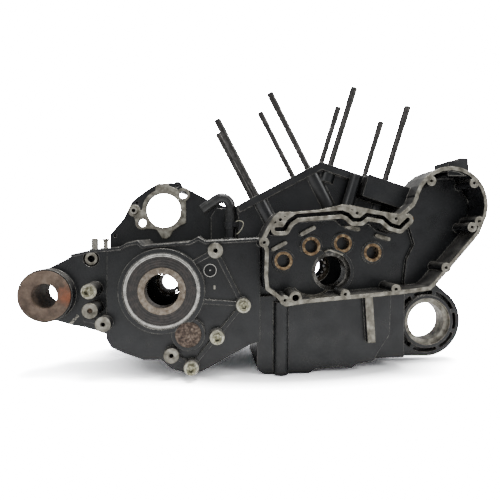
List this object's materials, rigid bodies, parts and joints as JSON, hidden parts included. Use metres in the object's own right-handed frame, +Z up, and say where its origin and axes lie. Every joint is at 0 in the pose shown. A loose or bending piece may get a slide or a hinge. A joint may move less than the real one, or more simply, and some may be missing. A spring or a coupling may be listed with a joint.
{
  "type": "engine crankcase",
  "caption": "V-twin motorcycle crankcase with the gearbox in one casting, open cam chest, cylinder studs, bearings and mounting lugs.",
  "frame": {"origin": "the crank axis where the two case halves meet", "axes": "+X towards the front of the engine, +Y along the crank axis to the left-hand side, +Z up as the engine rests"},
  "size_m": [0.63, 0.2, 0.4035],
  "materials": {
    "black_painted_casting": "satin black paint on sand-cast aluminium, with machined faces left bare",
    "stud_steel": "dark oiled steel",
    "bush_bronze": "turned bronze",
    "black_rubber": "moulded black rubber",
    "rusty_steel": "brown rust on steel",
    "cage_steel": "pressed steel, oily",
    "plated_steel": "zinc-plated steel",
    "bare_aluminium": "bare aluminium",
    "black_steel": "black steel",
    "ground_steel": "ground bearing steel"
  },
  "bodies": {
    "root": {"right_case_half": "black_painted_casting", "left_case_half": "black_painted_casting", "rear_cylinder_studs": "stud_steel", "front_cylinder_studs": "stud_steel", "pinion_bearing_race": "ground_steel", "cam_bush_1": "bush_bronze", "cam_bush_2": "bush_bronze", "cam_bush_3": "bush_bronze", "cam_bush_4": "bush_bronze", "left_crank_race": "ground_steel", "left_crank_seal": "black_rubber", "drive_bearing_outer_ring": "ground_steel", "drive_bearing_seals": "black_rubber", "mainshaft_bearing_outer_ring": "ground_steel", "countershaft_bearing_cup": "rusty_steel", "rear_mount_sleeve": "rusty_steel", "case_bolts": "plated_steel", "bolt_washers": "plated_steel", "broken_stud": "rusty_steel", "oil_passage_plug": "black_steel", "starter_dowel": "bare_aluminium", "vent_elbow": "black_rubber", "vent_hose_clamp": "plated_steel", "vent_fitting": "black_steel", "gearbox_vent_pipe": "bare_aluminium", "gearbox_vent_cap": "bare_aluminium", "drain_plug": "plated_steel", "case_dowels": "plated_steel"},
    "drive_ring": {"drive_bearing_inner_ring": "rusty_steel"},
    "drive_ball_set": {"drive_bearing_balls": "ground_steel", "drive_bearing_cage": "cage_steel"},
    "shaft_ring": {"mainshaft_bearing_inner_ring": "ground_steel"},
    "shaft_ball_set": {"mainshaft_bearing_balls": "ground_steel", "mainshaft_bearing_cage": "cage_steel"},
    "crank_roller_set": {"left_crank_rollers": "ground_steel", "left_crank_roller_cage": "cage_steel"}
  },
  "joints": [
    {"name": "drive_ring_spin", "type": "hinge", "parent": "root", "child": "drive_ring", "pos_m": [-0.231, -0.0655, -0.023], "axis": [0, 1, 0], "continuous": true},
    {"name": "drive_ball_set_spin", "type": "hinge", "parent": "root", "child": "drive_ball_set", "pos_m": [-0.231, -0.0655, -0.023], "axis": [0, 1, 0], "continuous": true},
    {"name": "shaft_ring_spin", "type": "hinge", "parent": "root", "child": "shaft_ring", "pos_m": [-0.231, 0.0485, -0.023], "axis": [0, 1, 0], "continuous": true},
    {"name": "shaft_ball_set_spin", "type": "hinge", "parent": "root", "child": "shaft_ball_set", "pos_m": [-0.231, 0.0485, -0.023], "axis": [0, 1, 0], "continuous": true},
    {"name": "crank_roller_set_spin", "type": "hinge", "parent": "root", "child": "crank_roller_set", "pos_m": [0, 0.053, 0], "axis": [0, 1, 0], "continuous": true}
  ],
  "couplings": [
    {"joint": "drive_ball_set_spin", "follows": "drive_ring_spin", "ratio": 0.3796},
    {"joint": "shaft_ball_set_spin", "follows": "shaft_ring_spin", "ratio": 0.3887}
  ]
}
